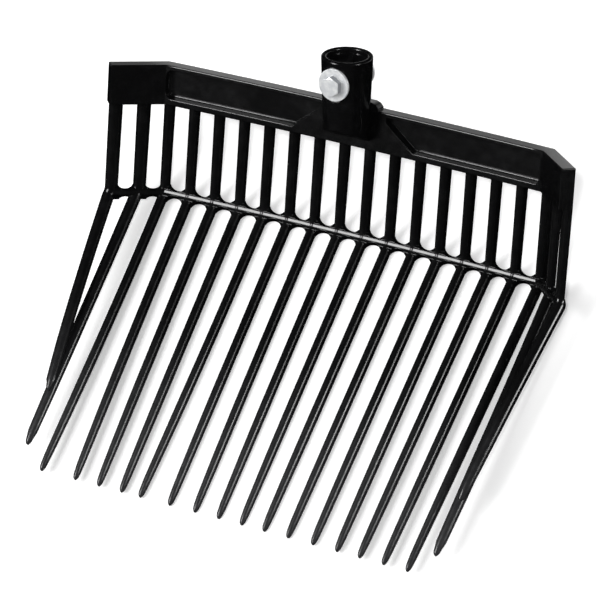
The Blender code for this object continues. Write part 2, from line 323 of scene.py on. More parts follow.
    @classmethod
    def break_edges(cls, piece: Object, width: float, steps: int, degrees: float) -> None:
        """Bevel the edges of a finished piece that are sharper than an angle."""
        limit = {"limit_method": "ANGLE", "angle_limit": radians(degrees)}
        cls.modify(piece, "BEVEL", width=width, segments=steps, **limit)

    @classmethod
    def combine(cls, piece: Object, operation: str, others: Iterable[Object]) -> None:
        """Join other pieces to a piece, or cut them from it, and remove them.

        Args:
            piece: what it changes.
            operation: how they are combined.
            others: the other pieces.
        """
        for other in list(others):
            cls.modify(piece, "BOOLEAN", operation=operation, solver="MANIFOLD", object=other)
            bpy.data.objects.remove(other, do_unlink=True)

    @classmethod
    def smooth(cls, piece: Object, degrees: float) -> None:
        """Shade a piece smooth, but for sharper edges, with its large faces left flat.

        Args:
            piece: what it shades.
            degrees: how sharp an edge stays sharp.
        """
        cls.take(piece)
        bpy.ops.object.shade_smooth_by_angle(angle=radians(degrees))
        weights = {"mode": "FACE_AREA", "weight": cls.FACE_WEIGHT, "keep_sharp": True}
        cls.modify(piece, "WEIGHTED_NORMAL", **weights)


@dataclass(frozen=True)
class HeadPlan:
    """The directions and stations that the moulding is laid out by."""

    knee_back: float = 0.065
    knee_bend: float = radians(41.0)
    pitch: float = 0.0208
    main_tines: int = 16
    wing_tines: int = 2
    wall_height: float = 0.0993
    rail_height: float = 0.0300
    dish_depth: float = 0.0039
    corner_past_tine: float = 0.0028
    end_past_tine: float = 0.0058
    wing_angle: float = radians(42.8)

    @property
    def knee(self) -> Vector:
        """The middle of the knee, on the wall's back."""
        return Vector((0, self.knee_back, 0))

    @property
    def rise(self) -> Vector:
        """The direction up the back wall."""
        return Vector((0, cos(self.knee_bend), sin(self.knee_bend)))

    @property
    def face(self) -> Vector:
        """The direction out of the back wall, to the scoop side."""
        return Vector((0, -sin(self.knee_bend), cos(self.knee_bend)))

    @property
    def half_span(self) -> float:
        """The distance from the middle to the last main tine."""
        return self.pitch * (self.main_tines - 1) / 2

    @property
    def corner(self) -> float:
        """The distance from the middle to the corner where a wing begins."""
        return self.half_span + self.corner_past_tine

    @property
    def end(self) -> float:
        """The distance along the rail from the middle to its end."""
        return self.half_span + self.pitch * self.wing_tines + self.end_past_tine

    def dish(self, run: float) -> float:
        """How far the wall comes forward at a distance from the middle."""
        return self.dish_depth * (run / self.half_span) ** 2

    def on_wall(self, run: float, rise: float, depth: float) -> Vector:
        """A point of the wall or of a wing.

        Args:
            run: the distance along the rail from the middle.
            rise: the height above the knee, along the wall.
            depth: the distance in front of the wall's back.

        Returns:
            The point.
        """
        side = copysign(1, run)
        past = abs(run) - self.corner
        if past < -CLOSE:
            out = self.face * (self.dish(run) + depth)
            return self.knee + ACROSS * run + out + self.rise * rise
        corner = self.knee + ACROSS * side * self.corner + self.face * self.dish(self.corner)
        corner += self.rise * rise
        if past < CLOSE:
            mitre = ACROSS * side * depth * tan(self.wing_angle / 2)
            return corner + self.face * depth - mitre
        turn, rest = sin(self.wing_angle), cos(self.wing_angle)
        along = ACROSS * rest + self.face * side * turn
        return corner + along * side * past + (self.face * rest - ACROSS * side * turn) * depth


@dataclass
class Comb:
    """The tines, the ribs above them and the bar that ties them at the knee."""

    plan: HeadPlan
    rib_width: float = 0.0086
    rib_depth: float = 0.0062
    rib_lean: float = 0.0009
    lean_at_knee: float = 0.1
    width: float = 0.0076
    depth: float = 0.0058
    wing_extra: float = 0.0019
    main_length: float = 0.2307
    wing_lengths: tuple = (0.2080, 0.1600)
    wing_toes: tuple = (0.0025, 0.0168)
    splays: tuple = (
        *(0.0040, -0.0014, -0.0062, 0.0018, 0.0012, 0, -0.0046, 0, 0.0010, 0.0007),
        *(0, -0.0011, -0.0011, -0.0003, 0, -0.0009, -0.0007, -0.0006, -0.0032, 0.0026),
    )
    section_steps: int = 24
    section_flank: float = 0.28
    section_square: float = 0.45
    taper_parts: tuple = (0.15, 0.3, 0.4, 0.5, 0.6, 0.7, 0.78, 0.85, 0.91, 0.95)
    upper_taper: float = 0.06
    lower_taper: float = 0.28
    taper_power: float = 2.2
    tip_width: float = 0.0048
    tip_depth: float = 0.0036
    tip_extra: float = 0.3
    tip_narrowing: float = 0.048
    tip_lift: float = 0.0036
    nose: float = 0.0056
    nose_degrees: tuple = (0, 25, 45, 60, 72, 82)
    nose_flat: float = 0.25
    path_parts: tuple = (0.15, 0.3, 0.45, 0.6, 0.75, 0.9, 1.0, 1.05)
    lip: float = 0.0040
    wall_steps: int = 5
    knee_round: float = 0.0105
    knee_bead: float = 0.00025
    knee_steps: int = 6
    bend_steps: int = 10
    bar_rise: float = 0.0025
    bar_drop: float = 0.0037
    bar_back: float = 0.0004
    bar_front: float = 0.0057
    bar_past_corner: float = 0.0033
    throat_share: float = 0.75
    throat_steps: int = 64
    web_end: float = 0.15
    wing_web_end: float = 0.50
    web_slant: float = 0.0026
    slant_limit: float = 0.8
    web_steps: int = 8

    def numbers(self) -> range:
        """The tines' numbers, the main ones from 1, with the wings' before and after."""
        return range(1 - self.plan.wing_tines, self.plan.main_tines + self.plan.wing_tines + 1)

    def run(self, number: int) -> float:
        """A tine's distance along the rail from the middle."""
        return (number - (self.plan.main_tines + 1) / 2) * self.plan.pitch

    def wing_place(self, number: int) -> int:
        """A tine's place on its wing, from 0 at the corner, or less than 0 on the main wall."""
        return max(1 - number, number - self.plan.main_tines) - 1

    def base(self, number: int) -> Vector:
        """The middle of a tine's back at the knee."""
        return self.plan.on_wall(self.run(number), 0, 0)

    def start(self) -> float:
        """How far up the wall the ribs begin, in the middle of the rail's lip."""
        return self.plan.wall_height - self.plan.rail_height + self.lip / 2

    def length(self, number: int) -> float:
        """A tine's length from the knee."""
        place = self.wing_place(number)
        return self.wing_lengths[place] if place >= 0 else self.main_length

    def extra(self, number: int) -> float:
        """How much wider a tine is than a main one."""
        return self.wing_extra if self.wing_place(number) >= 0 else 0.0

    def splay(self, number: int) -> Vector:
        """How far a tine's tip stands out of line, as the photographed head's do."""
        return ACROSS * self.splays[number - self.numbers()[0]]

    def tip_shift(self, number: int) -> Vector:
        """How far a tine's tip is drawn in and lifted.

        Args:
            number: the tine's number.

        Returns:
            The step from the straight line.
        """
        side = copysign(1, self.run(number))
        place = self.wing_place(number)
        if place >= 0:
            return ACROSS * -side * self.wing_toes[place]
        lift = self.tip_lift * (self.run(number) / self.plan.half_span) ** 2
        return ACROSS * -self.run(number) * self.tip_narrowing + UP * lift

    def straight_tine(self, name: str, length: float, extra: float) -> Object:
        """Model a tine with its rib in one straight bar along X, its back on the floor.

        Args:
            name: the piece's name.
            length: the tine's length from the knee.
            extra: how much wider it is than a main tine.

        Returns:
            The bar, from the rib's top at X 0 to the tip.
        """
        piece = Bench.new(
            name,
            bpy.ops.mesh.primitive_circle_add,
            vertices=self.section_steps,
            radius=1,
            fill_type="NGON",
            rotation=(QUARTER, 0, QUARTER),
        )
        place, width, depth = 0.0, self.rib_width + extra, self.rib_depth
        self.shape_section(piece, width, depth)
        for station, next_width, next_depth in self.stations(length, extra):
            Bench.extrude(ACROSS * (station - place))
            Bench.resize((1, next_width / width, next_depth / depth), ACROSS * station)
            place, width, depth = station, next_width, next_depth
        return Bench.done(piece)

    def shape_section(self, piece: Object, width: float, depth: float) -> None:
        """Give the first ring a flat back with rounded edges and a crowned front.

        Args:
            piece: the bar, in edit mode.
            width: its width.
            depth: its depth.
        """
        flank, power = self.section_flank, self.section_square
        shape = bmesh.from_edit_mesh(piece.data)
        for vert in shape.verts:
            angle = atan2(vert.co.z, vert.co.y)
            across, height = cos(angle), sin(angle)
            if height >= -CLOSE:
                rise = flank + (1 - flank) * height
            else:
                across = copysign(min(1.0, abs(across) ** power), across)
                rise = flank * (1 - abs(height) ** power)
            vert.co = (0, across * width / 2, rise * depth)
        bmesh.update_edit_mesh(piece.data)

    def stations(self, length: float, extra: float) -> list[tuple[float, float, float]]:
        """Where a straight tine's rings lie, with their widths and depths.

        Args:
            length: the tine's length from the knee.
            extra: how much wider it is than a main tine.

        Returns:
            Places along the bar, each with the width and depth there.
        """
        made = []
        start = self.start()
        bend = self.knee_round * self.plan.knee_bend
        wall = [start * part / self.wall_steps for part in range(1, self.wall_steps)]
        steps = range(2 * self.knee_steps + 1)
        for place in wall + [start + bend * (part / self.knee_steps - 1) for part in steps]:
            share = min(1.0, place / start)
            width = self.rib_width + (self.width - self.rib_width) * share + extra
            bead = self.knee_bead * max(0.0, 1 - ((place - start) / bend) ** 2)
            depth = self.rib_depth + (self.depth - self.rib_depth) * share + bead
            made.append((place, width, depth))
        for part in self.taper_parts:
            share = self.taper(part)
            made.append((start + length * part, self.width * share + extra, self.depth * share))
        tip_width = self.tip_width + extra * self.tip_extra
        for angle in map(radians, self.nose_degrees):
            place = start + length - self.nose * (1 - sin(angle))
            share = self.nose_flat + (1 - self.nose_flat) * cos(angle)
            made.append((place, tip_width * cos(angle), self.tip_depth * share))
        return made

    def taper(self, part: float) -> float:
        """The share of a tine's section that is left a part of its length from the knee.

        Args:
            part: the part, from 0 to 1.

        Returns:
            The share, from 1 down.
        """
        if part < 0.5:
            return 1 - self.upper_taper * 2 * part
        return 1 - self.upper_taper - self.lower_taper * (2 * part - 1) ** self.taper_power

    def path(self, number: int) -> Object:
        """Lay the line that a tine's back follows, from the rail's lip to the tip.

        Args:
            number: the tine's number.

        Returns:
            A curve, turned about itself on the wings as their walls are.
        """
        base, rise, lean = self.base(number), self.plan.rise, ACROSS * self.rib_lean
        length, shift, splay = self.length(number), self.tip_shift(number), self.splay(number)
        lead = self.knee_round * tan(self.plan.knee_bend / 2)
        on_wing = self.wing_place(number) >= 0
        turn = copysign(self.plan.wing_angle, self.run(number)) if on_wing else 0.0

        def along(part: float) -> Vector:
            """A point of the tine's back, a part of its length from the knee."""
            return base + REACH * length * part + shift * part + splay * part**2

        points = [
            (base + rise * self.start() + lean, turn),
            (base + rise * 2 * lead + lean * self.lean_at_knee, turn),
        ]
        near, far = base + rise * lead, along(lead / length)
        for part in (step / self.bend_steps for step in range(self.bend_steps + 1)):
            spot = near.lerp(base, part).lerp(base.lerp(far, part), part)
            points.append((spot, turn * (1 - part)))
        points += [(along(part), 0.0) for part in self.path_parts]
        guide = Bench.line(f"tine_path_{number}", points)
        guide.data.twist_mode = "Z_UP"
        return guide

    def tines(self) -> list[Object]:
        """Bend a straight bar along each tine's path.

        Returns:
            The tines with their ribs.
        """
        bars = {}
        made = []
        for number in self.numbers():
            kind = (self.length(number), self.extra(number))
            if kind not in bars:
                bars[kind] = self.straight_tine(f"tine_bar_{len(bars)}", *kind)
            tine = Bench.link(f"tine_{number}", bars[kind].data.copy())
            guide = self.path(number)
            Bench.modify(tine, "CURVE", object=guide, deform_axis="POS_X")
            bpy.data.objects.remove(guide, do_unlink=True)
            made.append(Bench.done(tine))
        for bar in bars.values():
            bpy.data.objects.remove(bar, do_unlink=True)
        return made

    def webs(self) -> list[Object]:
        """Tie each two neighbouring tines at the knee."""
        numbers = list(self.numbers())
        return [self.web(left, right) for left, right in zip(numbers, numbers[1:])]

    def web(self, left: int, right: int) -> Object:
        """Model the bar between two tines, with a rounded throat above it and below it.

        Args:
            left: the number of the tine at its left.
            right: the number of the tine at its right.

        Returns:
            The bar, whose ends lie inside the two tines.
        """
        start, stop = self.base(left), self.base(right)
        across, span = (stop - start).normalized(), (stop - start).length
        rise = (self.plan.rise - across * self.plan.rise.dot(across)).normalized()
        out = across.cross(rise)
        reach = (REACH - across * REACH.dot(across)).normalized()
        bend = out.angle(across.cross(-reach))
        lead = self.knee_round * tan(bend / 2)
        throat = (span - self.width - (self.extra(left) + self.extra(right)) / 2) / 2
        upper = self.throat_middle(bend, -self.bar_rise, throat)
        lower = self.throat_middle(bend, self.bar_drop, throat)

        first, last = left == 1, right == self.plan.main_tines
        on_wing = max(self.wing_place(left), self.wing_place(right)) >= 0
        foot_share = self.wing_web_end if on_wing else self.web_end
        along = Vector((0, -cos(bend), sin(bend)))
        front = Vector((0, sin(bend), cos(bend)))
        top = upper.translation.y - self.web_end * throat * self.throat_share
        foot = lower.translation.dot(along) - foot_share * throat * self.throat_share
        middle = (self.bar_back + self.bar_front) / 2
        end = Matrix.Translation((self.bar_past_corner * (last - first) / 2, top, middle))
        piece = Bench.rectangle(
            f"web_{left}",
            span + self.bar_past_corner * (first + last),
            self.bar_front - self.bar_back,
            end @ Matrix.Rotation(QUARTER, 4, "X"),
        )
        Bench.extrude(Vector((0, lead - top, 0)))
        bpy.ops.mesh.spin(
            steps=self.web_steps, angle=bend, center=(0, lead, self.knee_round), axis=(1, 0, 0)
        )
        Bench.extrude(along * (foot - lead))
        Bench.pull(
            piece,
            lambda spot: spot.dot(along) > foot - CLOSE and spot.dot(front) > middle,
            along * -min(self.web_slant, self.slant_limit * (foot - lead)),
        )
        Bench.pull(
            piece,
            lambda spot: spot.y > top - CLOSE and spot.z > middle,
            Vector((0, -self.web_slant, 0)),
        )
        Bench.done(piece)
        size = Matrix.Diagonal((throat, throat * self.throat_share, 3 * self.depth, 1))
        throats = [
            Bench.put(Bench.bar("throat", (-1, 1), (1, 1), self.throat_steps), place @ size)
            for place in (upper, lower)
        ]
        Bench.combine(piece, "DIFFERENCE", throats)
        seat = Matrix.Translation((start + stop) / 2)
        return Bench.put(piece, seat @ basis(across, rise, out))

    def throat_middle(self, bend: float, distance: float, throat: float) -> Matrix:
        """Find the middle of a throat in a web's own axes.

        Args:
            bend: the knee's angle there.
            distance: how far from the knee's middle the throat begins, negative up the wall.
            throat: half the throat's width.

        Returns:
            Axes with Y along the tine's back, away from the knee, and Z out of it.
        """
        lead = self.knee_round * tan(bend / 2)
        angle = min(bend, max(0.0, bend / 2 + distance / self.knee_round))
        extra = distance - (angle - bend / 2) * self.knee_round
        out = Vector((0, sin(angle), cos(angle)))
        onward = Vector((0, -cos(angle), sin(angle)))
        back = Vector((0, lead, self.knee_round)) - out * self.knee_round
        side = copysign(1, distance)
        spot = back + onward * (extra + side * throat * self.throat_share)
        return Matrix.Translation(spot) @ basis(ACROSS * -side, onward * side, out)


@dataclass
class Rail:
    """The rail along the top of the wall, with its sunk panels and its wings."""

    plan: HeadPlan
    depth: float = 0.0105
    proud: float = 0.0003
    edge: float = 0.0008
    rim: float = 0.0012
    flange: float = 0.0035
    lip: float = 0.0047
    floor: float = 0.0045
    floor_facing: float = 0.9
    draft: float = radians(8.5)
    fillet: float = 0.0006
    recess_round: float = 0.0050
    recess_from_corner: float = 0.0043
    sweep_steps: int = 6
    panel_steps: int = 5
    boss_half_top: float = 0.0270
    boss_spread: float = 0.0230
    boss_shoulder: float = 0.0040

    @property
    def foot(self) -> float:
        """The height of the hollows' lower edge above the knee."""
        return self.plan.wall_height - self.plan.rail_height + self.lip

    @property
    def top(self) -> float:
        """The height of the hollows' upper edge above the knee."""
        return self.plan.wall_height - self.flange

    def strip(
        self, name: str, runs: list[float], depths: tuple[float, float], rise: float
    ) -> Object:
        """Lay a strip of faces that follows the wall at one height.

        Args:
            name: the piece's name.
            runs: where its crosswise edges lie along the rail.
            depths: how far its back and its front edge stand in front of the wall's back.
            rise: its height above the knee.

        Returns:
            The strip, in edit mode with all of it selected.
        """
        parts = len(runs) - 1
        grid = {"x_subdivisions": parts, "y_subdivisions": 1, "size": 2}
        piece = Bench.new(name, bpy.ops.mesh.primitive_grid_add, **grid)
        shape = bmesh.from_edit_mesh(piece.data)
        for vert in shape.verts:
            column = round((vert.co.x + 1) / 2 * parts)
            vert.co = self.plan.on_wall(runs[column], rise, depths[vert.co.y > 0])
        bmesh.update_edit_mesh(piece.data)
        return piece

    def body(self) -> Object:
        """Model the rail as one bar that follows the wall and its wings.

        Returns:
            The rail, with nothing cut away.
        """
        plan = self.plan
        middle = (plan.main_tines - 2) / 2
        inner = [plan.pitch * (gap - middle) for gap in range(plan.main_tines - 1)]
        runs = [-plan.end, -plan.corner, *inner, plan.corner, plan.end]
        depths = (-self.proud, self.depth - self.proud)
        piece = self.strip("rail", runs, depths, plan.wall_height - plan.rail_height)
        Bench.extrude(plan.rise * plan.rail_height)
        Bench.done(piece)
        Bench.break_edges(piece, self.edge, steps=3, degrees=50)
        return piece

    def recess(self, side: Side) -> Object:
        """Model what is cut away for one long sunk panel.

        Args:
            side: the half of the rail that it is in.

        Returns:
            The cutter, its floor's edges rounded.
        """
        plan, steps = self.plan, self.sweep_steps
        far = plan.corner - self.recess_from_corner
        near = self.boss_half_top
        boss_foot = near + self.boss_spread
        angles = [QUARTER * part / steps for part in range(steps + 1)]
        sweep = [self.recess_round * (1 - cos(angle)) for angle in reversed(angles)]
        part_length = (far - self.recess_round - boss_foot) / self.panel_steps
        straight = [boss_foot + part_length * part for part in range(self.panel_steps)]
        runs = [side.value * run for run in (near, *straight, *(far - step for step in sweep))]
        outside = 2 * self.depth
        piece = self.strip("recess", runs, (self.floor, outside), self.foot)
        Bench.extrude(plan.rise * (self.top - self.foot))
        front = plan.on_wall(0, 0, (self.floor + outside) / 2).dot(plan.face)
        slope = plan.rise * tan(self.draft)
        shoulder = plan.rise * (self.top - self.foot - self.boss_shoulder)
        for wanted, step in (
            (lambda spot: spot.dot(plan.face) <= front, slope * (self.depth - self.floor)),
            (lambda spot: spot.dot(plan.face) > front, slope * (self.depth - outside)),
            (lambda spot: abs(spot.x) < near + CLOSE, shoulder),
        ):
            Bench.pull(piece, lambda spot: self.is_lower(spot) and wanted(spot), step)
        for step, angle in zip(reversed(sweep), angles[:-1]):
            self.sweep_column(piece, side.value * (far - step), angle)
        Bench.done(piece)
        Bench.edit()
        Bench.round_edges(piece, self.is_floor_rim, self.fillet, steps=3)
        return Bench.done(piece)

    def sweep_column(self, piece: Object, run: float, angle: float) -> None:
        """Draw in one column of the cutter, so that the panel's outer end is swept up.

        Args:
            piece: the cutter, in edit mode.
            run: the column's distance along the rail.
            angle: how far round the sweep it lies, from 0 at the panel's end.
        """
        plan = self.plan
        inset = self.recess_round * (1 - sin(angle))
        line = plan.on_wall(run, 0, 0).x
        deep = plan.on_wall(run, 0, self.floor).dot(plan.face)
        for wanted, direction in (
            (self.is_lower, plan.rise),
            (lambda spot: not self.is_lower(spot), -plan.rise),
            (lambda spot: spot.dot(plan.face) < deep + CLOSE, plan.face),
        ):
            Bench.pull(
                piece,
                lambda spot: abs(spot.x - line) < CLOSE and wanted(spot),
                direction * inset,
            )

    def is_lower(self, spot: Vector) -> bool:
        """Whether a place is in the lower half of the hollows' height."""
        return (spot - self.plan.knee).dot(self.plan.rise) < (self.foot + self.top) / 2

    def is_floor_rim(self, edge: bmesh.types.BMEdge) -> bool:
        """Whether an edge of the cutter bounds its deepest faces."""
        deep = [face.normal.dot(self.plan.face) < -self.floor_facing for face in edge.link_faces]
        return len(deep) == 2 and deep[0] != deep[1]

    def pocket(self, side: Side) -> Object:
        """Model what is cut away behind a wing's plain front.

        Args:
            side: the half of the rail that it is in.

        Returns:
            The cutter.
        """
        plan = self.plan
        runs = [side.value * run for run in (plan.corner + self.flange, plan.end - self.flange)]
        depths = (-self.depth, self.depth - self.floor - self.proud)
        piece = self.strip("pocket", runs, depths, self.foot)
        Bench.extrude(plan.rise * (self.top - self.foot))
        Bench.done(piece)
        Bench.break_edges(piece, self.fillet, steps=2, degrees=50)
        return piece

    def build(self) -> Object:
        """Cut the panels and pockets from the rail.

        Returns:
            The rail.
        """
        piece = self.body()
        hollows = [make(side) for side in Side for make in (self.recess, self.pocket)]
        Bench.combine(piece, "DIFFERENCE", hollows)
        Bench.break_edges(piece, self.rim, steps=3, degrees=60)
        return piece


@dataclass
class Socket:
    """The handle's socket, its shoulder on the rail and the bolt's place in it."""

    plan: HeadPlan
    lean: float = radians(4.6)
    radius: float = 0.0170
    flare: float = 0.0375
    back: float = 0.0037
    wall: float = 0.0040
    floor: float = 0.0060
    rail_lip: float = 0.0040
    lip_round: float = 0.0012
    lip_angle: float = 1.0
    foot_drop: float = 0.0110
    foot_slant: float = radians(27)
    top: float = 0.0408
    steps: int = 128
    bolt_rise: float = 0.0240
    bolt_radius: float = 0.0040
    bolt_gap: float = 0.0003
    spot_depth: float = 0.0013
    spot_radius: float = 0.0130
    cut_steps: int = 64
    gusset_depths: tuple = (0.0010, 0.0095)
    gusset_sink: float = 0.0018
    gusset_half: float = 0.0193
    gusset_foot: float = 0.0015
    gusset_step: float = 0.0022
    gusset_shoulder: float = 0.0038
    gusset_height: float = 0.0050
    gusset_top: float = 0.0136
    gusset_round: float = 0.0005

    def axes(self) -> Matrix:
        """The socket's own axes: Z up its bore and Y out of its front, from the rail's top.

        Returns:
            The axes.
        """
        rise, face = self.plan.rise, self.plan.face
        axis = rise * cos(self.lean) + face * sin(self.lean)
        front = face * cos(self.lean) - rise * sin(self.lean)
        seat = self.plan.on_wall(0, self.plan.wall_height, self.radius + self.back)
        return Matrix.Translation(seat) @ basis(-ACROSS, front, axis)

    def bolt_axes(self) -> Matrix:
        """The bolt's own axes: Z out of the socket's front, from the middle of the bore."""
        middle = Matrix.Translation((0, 0, self.bolt_rise))
        return self.axes() @ middle @ Matrix.Rotation(-QUARTER, 4, "X")

    def radius_at(self, height: float) -> float:
        """The socket's outside radius at a height above the rail's top."""
        return self.radius + self.flare * height

    def seat(self) -> float:
        """The distance from the bore's middle to the flats under the washers."""
        return self.radius_at(self.bolt_rise) - self.spot_depth

    def cone(self, name: str, low: float, high: float, less: float) -> Object:
        """Add a bar along the socket with its flare, thinner than the socket by an amount."""
        radii = (self.radius_at(low) - less, self.radius_at(high) - less)
        return Bench.bar(name, (low, high), radii, self.steps)

    def tube(self) -> Object:
        """Model the socket's outside, its mouth's edge broken and its foot cut on a slant.

        Returns:
            The socket, not yet bored.
        """
        piece = self.cone("socket", self.rail_lip - self.plan.rail_height, self.top, 0)
        Bench.pick(piece, lambda spot: spot.z > self.top - CLOSE)
        bpy.ops.mesh.inset(thickness=self.wall)
        Bench.extrude(UP * -self.wall)
        Bench.round_edges(piece, self.is_lip_edge, self.lip_round, steps=5)
        bpy.ops.mesh.select_all(action="SELECT")
        bpy.ops.mesh.bisect(
            plane_co=(0, self.radius, -self.foot_drop),
            plane_no=(0, -sin(self.foot_slant), cos(self.foot_slant)),
            use_fill=True,
            clear_inner=True,
        )
        return Bench.put(Bench.done(piece), self.axes())

    def is_lip_edge(self, edge: bmesh.types.BMEdge) -> bool:
        """Whether an edge runs round the mouth, outside or inside."""
        at_top = all(vert.co.z > self.top - CLOSE for vert in edge.verts)
        return at_top and edge.calc_face_angle(0) > self.lip_angle

    def bore(self) -> Object:
        """Model the tapering hole that the handle goes into."""
        piece = self.cone("bore", -self.floor, self.top + self.wall, self.wall)
        return Bench.put(Bench.done(piece), self.axes())

    def bolt_cuts(self) -> list[Object]:
        """Model the bolt's hole and the two flats that the washers lie on.

        Returns:
            The three cutters.
        """
        reach, seat = 2 * self.radius, self.seat()
        cuts = []
        for ends, radius in (
            ((-reach, reach), self.bolt_radius + self.bolt_gap),
            ((seat, reach), self.spot_radius),
            ((-reach, -seat), self.spot_radius),
        ):
            piece = Bench.bar("bolt_cut", ends, (radius, radius), self.cut_steps)
            cuts.append(Bench.put(Bench.done(piece), self.bolt_axes()))
        return cuts

    def gusset(self) -> Object:
        """Model the shoulder that carries the socket on the rail's flange.

        Returns:
            The shoulder.
        """
        plan = self.plan
        back, front = self.gusset_depths
        seat = plan.on_wall(0, plan.wall_height, (back + front) / 2)
        turn = basis(ACROSS, plan.rise, plan.face) @ Matrix.Rotation(QUARTER, 4, "X")
        place = Matrix.Translation(seat) @ turn @ Matrix.Translation((0, 0, self.gusset_sink))
        piece = Bench.rectangle("gusset", 2 * self.gusset_half, front - back, place)
        share = 1 - self.gusset_step / self.gusset_half
        narrow = self.gusset_top / (self.gusset_half * share)
        Bench.extrude(plan.rise * (self.gusset_sink + self.gusset_foot))
        Bench.extrude(plan.rise * (self.gusset_shoulder - self.gusset_foot))
        Bench.resize((share, 1, 1), seat)
        Bench.extrude(plan.rise * (self.gusset_height - self.gusset_shoulder))
        Bench.resize((narrow, 1, 1), seat)
        Bench.done(piece)
        Bench.break_edges(piece, self.gusset_round, steps=3, degrees=20)
        return piece


@dataclass
class Moulding:
    """The whole moulded head, in one piece."""

    plan: HeadPlan

    def build(self, finish: "Finish") -> Object:
        """Fuse the comb, the rail and the socket.

        Args:
            finish: the plastic.

        Returns:
            The moulded head.
        """
        socket = Socket(self.plan)
        comb = Comb(self.plan)
        piece = Rail(self.plan).build()
        piece.name = "moulded_head"
        Bench.combine(piece, "UNION", [socket.tube(), socket.gusset()])
        Bench.combine(piece, "DIFFERENCE", [socket.bore(), *socket.bolt_cuts()])
        Bench.combine(piece, "UNION", comb.tines() + comb.webs())
        Bench.done(piece)
        Bench.smooth(piece, degrees=32)
        return dress(piece, finish, Body.HEAD, "fork_head")


